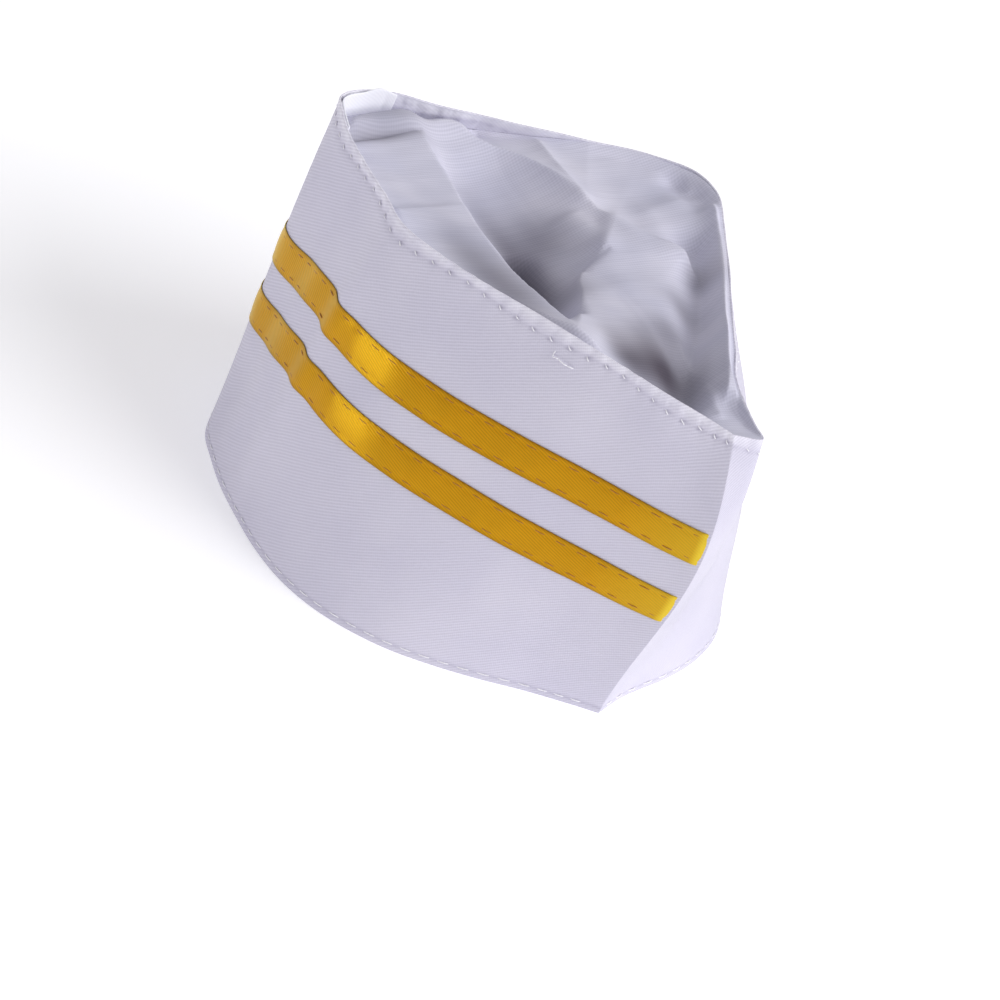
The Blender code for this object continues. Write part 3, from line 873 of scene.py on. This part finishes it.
DIRECTIONS, EDGE_REACH, EDGE_HEIGHT = crown_ring()
EDGE_Z = EDGE_HEIGHT.mean()
turned_rings = [np.roll(EDGE_REACH[:-1], shift) for shift in range(-SMOOTH_STEPS, SMOOTH_STEPS + 1)]
SOFT_REACH = np.mean(turned_rings, axis=0)[np.r_[0:RING, 0]]  # the outline without its sharp corners


def crown_place(u, v):
    """A square sheet drawn into the outline of the rim, so that its threads stay nearly straight."""
    a, b = 2 * u - 1, 2 * v - 1
    dx, dy = a * np.sqrt(1 - b * b / 2), b * np.sqrt(1 - a * a / 2)
    direction, share = np.arctan2(dy, dx), np.minimum(np.hypot(dx, dy), 1)
    rings = (EDGE_REACH, SOFT_REACH, EDGE_HEIGHT)
    reach, inner, height = (np.interp(direction, DIRECTIONS, ring) for ring in rings)
    reach = inner + (reach - inner) * soft_step(1 - (1 - share) / SHARP_SHARE)
    x = CROWN_MIDDLE[0] + HALF_LENGTH * reach * dx
    y = CROWN_MIDDLE[1] + HALF_WIDTH * reach * dy
    edge_z = EDGE_Z + (height - EDGE_Z) * share**2
    return np.stack((x, y, crown_height(edge_z, x, y, share)), -1)


def crown_chart(u, v):
    return crown_place(u, v)[:, :2].T


# Columns: middle x, middle y, radius x, radius y, strength, in shares as above. Painted shade: the voile is
# coloured darker in these patches, in its hollows and folds over the deep inside of the cap, as the shade
# there.
PAINTED_SHADE_PLACES = (
    (-0.15, -0.04, 0.17, 0.13, 0.60), (0.08, -0.18, 0.20, 0.10, 0.70), (0.62, -0.18, 0.14, 0.08, 0.55),
    (0.68, -0.02, 0.15, 0.14, 1.00), (0.48, 0.11, 0.09, 0.09, 0.50), (0.50, -0.04, 0.10, 0.07, 0.22),
    (0.32, 0.28, 0.09, 0.08, 0.40), (0.14, 0.48, 0.09, 0.07, 0.35), (-0.20, -0.20, 0.26, 0.07, 0.38),
    (0.30, -0.53, 0.26, 0.14, 0.66), (0.02, -0.57, 0.16, 0.12, 0.22), (-0.66, -0.52, 0.04, 0.20, 0.50),
    (-0.74, -0.45, 0.05, 0.22, 0.35),
)


# Painted shade of the crown, from 0 to 1, kept as an attribute.
def crown_painted_shade(u, v):
    x, y = crown_chart(u, v)
    x, y = (x + BOX_MIDDLE[0]) / HALF_LENGTH, (y + BOX_MIDDLE[1]) / HALF_WIDTH
    painted_dark = np.zeros_like(x)
    for middle_x, middle_y, radius_x, radius_y, strength in PAINTED_SHADE_PLACES:
        painted_dark += strength * np.exp(-(((x - middle_x) / radius_x) ** 2) - ((y - middle_y) / radius_y) ** 2)
    return np.clip(painted_dark, 0, 1)


# %% Voile material
# Voile is a thin, matt plain weave: its threads show both ways, and a thicker one runs through here and there.
THREAD_PITCH = 0.0010  # coarser than real voile, so that the threads show at this size


def voile_material():
    voile, shader = new_material(
        "White cotton voile", Roughness=0.92, Specular_IOR_Level=0.2, Sheen_Weight=0.08
    )
    chart = add_node(voile, "UVMap", uv_map="cloth")
    warp, weft = (
        add_node(
            voile, "TexWave", [(chart, 0)], bands_direction=direction, Scale=WAVE_PERIOD / pitch,
            Distortion=1.2, Detail_Scale=0.2, **BANDS,
        )
        for direction, pitch in (("X", THREAD_PITCH), ("Y", 0.9 * THREAD_PITCH))
    )
    stretched = add_node(voile, "Mapping", [(chart, 0)], Scale=(1.0, 0.05, 1.0))
    slubs = add_node(voile, "TexNoise", [(stretched, 0)], Scale=850.0, Detail=2.0)
    slow = add_node(voile, "TexNoise", [(chart, 0)], Scale=30.0, Detail=2.0)
    # The painted shade of the crown's hollows, read from its attribute.
    painted_dark = add_node(voile, "Attribute", attribute_name="crown_painted_shade", out="Fac")
    level = mix_patterns(voile, warp, (weft, 0.55), (slubs, 1.6))
    tints = (
        (level, ((0.2, "#CDCBD9"), (0.75, "#DFDDEA"))),
        (slow, ((0.3, "#EEF0F6"), (0.7, "#FFFFFF"))),
        (painted_dark, ((0.0, "#FFFFFF"), (1.0, "#666066"))),
    )
    finish_cloth(voile, shader, level, tints, strength=0.18, distance=0.0002)
    return voile


# %% Set the crown in
# The crown carries its painted shade as an attribute.
crown = grid_cloth("crown_cloth", CROWN_GRID, crown_place, crown_chart, [("crown_painted_shade", crown_painted_shade)])
thicken(crown, VOILE_THICKNESS)
apply_all(crown)
paint(crown, voile_material())
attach(crown, "root")
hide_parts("crown")
print("crown faces", len(crown.data.polygons))

# %% [markdown]
# ## The lapped end
#
# The strip has to be joined somewhere. At the front corner its end is lapped over the inside of the band and
# caught in the rim seam, so a double piece shows inside the rim. It is painted lighter than the band, as
# painted light. It is one more small grid, laid against the inner face, and it stands 2 mm above the rim near
# its free edge.

# %% Lapped end
LAP_FROM, LAP_TO = 0.66, 0.876  # shares along the striped side
LAP_DEPTH = 0.018
LAP_PROUD, PROUD_AT, PROUD_WIDTH = 0.0020, 0.846, 0.022  # it stands above the rim most near its free edge
LAP_INSET = 0.0003  # elsewhere it ends this far below the rim
LAP_THICKNESS = 0.0006
LAP_OVERLAP = 0.0001  # it is sunk this far into the band, so no gap shows
LAP_SWELL = 0.0003  # it stands off the band by this much half way down, but not at its crease
LAP_CREASE = 0.860
LAP_GRID = (70, 24)


def lap_place(u, v):
    along = LAP_FROM + (LAP_TO - LAP_FROM) * u
    proud = LAP_PROUD * furrow(along, PROUD_AT, PROUD_WIDTH) - LAP_INSET
    below = LAP_DEPTH - (LAP_DEPTH + proud) * v
    height = 1 - below / length_at(STRIPED_SIDE, along)
    swell = LAP_SWELL * np.sin(np.pi * v) * (1 - 1.4 * furrow(along, LAP_CREASE, 0.005))
    return off_wall(STRIPED_SIDE, along, height, LAP_OVERLAP - WALL_THICKNESS - LAP_THICKNESS - swell)


def lap_chart(u, v):
    return striped_run(LAP_FROM + (LAP_TO - LAP_FROM) * u), v * LAP_DEPTH


lap = grid_cloth("lapped_end", LAP_GRID, lap_place, lap_chart)
thicken(lap, LAP_THICKNESS)
round_edges(lap, width=0.0002, segments=2)
apply_all(lap)
paint(lap, tape_painted_lighter)
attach(lap, "root")

# %% [markdown]
# ## Stitches
#
# A lockstitch shows as a row of short raised dashes. One dash is modelled: a thin cylinder, arched along its
# length, whose ends dive into the cloth. It is then copied along each seam, every copy turned to the cloth
# under it. The thread is twisted polyester, smoother than the cloth: white at the hem and the rim, golden on
# the ribbons.

# %% One stitch
CUTS = (-0.42, -0.25, 0.0, 0.25, 0.42)  # where the dash is cut, so that it can bend
SLIMMER, ARCH_TOP, ARCH_DROP = 0.55, 0.35, 1.6  # its ends are slimmer, its middle is raised, its ends dive


def model_stitch():
    """A dash one unit long on X, arched upwards on Z, with a radius of half a unit in Y and Z."""
    bpy.ops.object.select_all(action="DESELECT")
    bpy.ops.mesh.primitive_cylinder_add(
        vertices=8, radius=0.5, depth=1, end_fill_type="TRIFAN", rotation=(0, math.pi / 2, 0)
    )
    dash = bpy.context.object
    bpy.ops.object.transform_apply(rotation=True)
    bpy.ops.object.mode_set(mode="EDIT")
    for cut in CUTS:
        bpy.ops.mesh.select_all(action="SELECT")
        bpy.ops.mesh.bisect(plane_co=(cut, 0, 0), plane_no=(1, 0, 0))
    bpy.ops.object.mode_set(mode="OBJECT")
    for vertex in dash.data.vertices:
        to_end = abs(2 * vertex.co.x)
        slim = 1 - SLIMMER * to_end**4
        vertex.co.y *= slim
        vertex.co.z = vertex.co.z * slim + ARCH_TOP - ARCH_DROP * to_end**3
    dash.data.shade_smooth()
    dash.name = dash.data.name = "stitch"
    return dash


STITCH = model_stitch()
print("one stitch has", len(STITCH.data.polygons), "faces")


def sew(name, starts, ends, normals, thread, material):
    """Copies the stitch between each start and end, standing on the cloth along the normals."""
    dashes = []
    bpy.ops.object.select_all(action="DESELECT")
    for start, end, normal in zip(starts, ends, normals):
        along = Vector(end - start)
        length = along.length
        along.normalize()
        side = Vector(normal).cross(along).normalized()
        up = along.cross(side)
        frame_of = Matrix((along * length, side * thread, up * thread)).transposed().to_4x4()
        data = STITCH.data.copy()
        data.transform(Matrix.Translation(Vector((start + end) / 2)) @ frame_of)
        dash = bpy.data.objects.new(name, data)
        bpy.context.collection.objects.link(dash)
        dash.select_set(True)
        dashes.append(dash)
    bpy.context.view_layer.objects.active = dashes[0]
    bpy.ops.object.join()
    seam = bpy.context.object
    seam.name = seam.data.name = name
    paint(seam, material)
    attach(seam, "root")


def thread_material(name, colour, roughness):
    thread, shader = new_material(name, Roughness=roughness, Sheen_Weight=0.2)
    place = add_node(thread, "TexCoord", out="Object")
    twist = add_node(thread, "TexNoise", [(place, 0)], Scale=1800.0, Detail=2.0)
    dark = tuple(0.82 * c for c in colour[:3]) + (1.0,)
    tint = add_node(thread, "ValToRGB", [(twist, 0)], ((0.35, dark), (0.65, colour)))
    thread.node_tree.links.new(tint, shader.inputs["Base Color"])
    return thread


white_thread = thread_material("White polyester thread", linear("#F6F5FA"), 0.6)
golden_thread = thread_material("Golden polyester thread", linear("#A96A10"), 0.5)


# %% Seams of the band
SEAM_MARGIN = 0.001  # no stitch comes nearer to the rear crease
HEM_THREAD, RIM_THREAD, RIBBON_THREAD = 0.00042, 0.00040, 0.00036
HEM_SHOWN, RIM_SHOWN = 0.80, 0.16  # the part of the pitch that one stitch covers
HEM_SINK, RIM_SINK, RIBBON_SINK = 0.00012, 0.00016, 0.00003  # how deep the thread lies in the cloth
RIM_LEAN = 0.0008  # the rim's short stitches lean by this much to each side
RIM_BELOW, RIM_ABOVE = 0.0007, 0.0006  # how far they reach below and above their line


def seam_places(pitch, share):
    """Start and end of every stitch round the strip, as u. share is the part of the pitch that shows."""
    u = np.linspace(1, 0, 4001)
    starts = (np.arange(int(STRIP_LENGTH / pitch)) + 0.5 - share / 2) * pitch
    ends = starts + share * pitch
    clear = (starts > SEAM_MARGIN) & (ends < STRIP_LENGTH - SEAM_MARGIN)
    clear &= np.abs((starts + ends) / 2 - FRONT_CREASE) > 0.5 * pitch
    return tuple(np.interp(edge[clear], strip_run(u), u) for edge in (starts, ends))


first, last = seam_places(HEM_PITCH, HEM_SHOWN)
heights = [HEM_SEAM / strip_length(u) for u in (first, last)]
facing = on_strip((first + last) / 2, heights[0])[1]
inner_sink = WALL_THICKNESS + 0.0001
for title, sink, turn in (("hem_stitches", HEM_SINK, 1), ("hem_stitches_inside", inner_sink, -1)):
    starts, ends = off_strip(first, heights[0], -sink), off_strip(last, heights[1], -sink)
    sew(title, starts, ends, turn * facing, HEM_THREAD, white_thread)

first, last = seam_places(RIM_PITCH, RIM_SHOWN)
middle = (first + last) / 2
number = np.arange(len(middle))
uneven = 0.0004 * np.sin(number * 2.3) + 0.0003 * np.sin(number * 5.1)
seam_at = rim_seam(strip_run(middle))
low = 1 - (seam_at + RIM_BELOW + uneven) / strip_length(middle)
high = 1 - (seam_at - RIM_ABOVE + 0.6 * uneven) / strip_length(middle)
shift = RIM_LEAN / STRIP_LENGTH
starts, ends = off_strip(middle + shift, low, -RIM_SINK), off_strip(middle - shift, high, -RIM_SINK)
sew("rim_stitches", starts, ends, on_strip(middle, high)[1], RIM_THREAD, white_thread)

# %% Loose thread
# Where the rim seam ends, its thread was left a centimetre long. Columns: along, distance from the rim, and
# how far it stands off the wall, in metres.
LOOSE_THREAD = np.array((
    (0.2437, 0.0074, 0.0000), (0.2443, 0.0085, 0.0005), (0.2430, 0.0093, 0.0008), (0.2400, 0.0089, 0.0012),
    (0.2363, 0.0089, 0.0010), (0.2310, 0.0092, 0.0013), (0.2250, 0.0094, 0.0009), (0.2175, 0.0092, 0.0004),
))
along = LOOSE_THREAD[:, 0]
height = 1 - LOOSE_THREAD[:, 1] / length_at(STRIPED_SIDE, along)
places = off_wall(STRIPED_SIDE, along, height, LOOSE_THREAD[:, 2])
facing = wall_normals(STRIPED_SIDE, along, height)[1:]
overlap = 0.1 * np.diff(places, axis=0)  # each length of thread reaches back into the one before
sew("loose_thread", places[:-1] - overlap, places[1:], facing, RIM_THREAD, white_thread)

# %% Seams of the ribbons
count = int((FRONT_CREASE - 2 * RIBBON_INSET) / RIBBON_PITCH)
centre = (np.arange(count) + 0.5) * RIBBON_PITCH + RIBBON_INSET
for number, title in enumerate(("upper_ribbon_stitches", "lower_ribbon_stitches")):
    starts, ends, normals = [], [], []
    for across in (RIBBON_SEAM, RIBBON_WIDTH - RIBBON_SEAM):
        for run, kept in ((centre - RIBBON_STITCH / 2, starts), (centre + RIBBON_STITCH / 2, ends)):
            along = striped_along(run)
            height = ribbon_height(along, number, across)
            lift = ribbon_lift(run, np.full_like(run, across)) - RIBBON_SINK
            kept.append(off_wall(STRIPED_SIDE, along, height, lift))
        normals.append(wall_normals(STRIPED_SIDE, along, height))
    sew(title, *(np.concatenate(part) for part in (starts, ends, normals)), RIBBON_THREAD, golden_thread)

# %% [markdown]
# ## Removing the model stitch
#
# The stitch that was copied is removed.

bpy.data.objects.remove(STITCH)
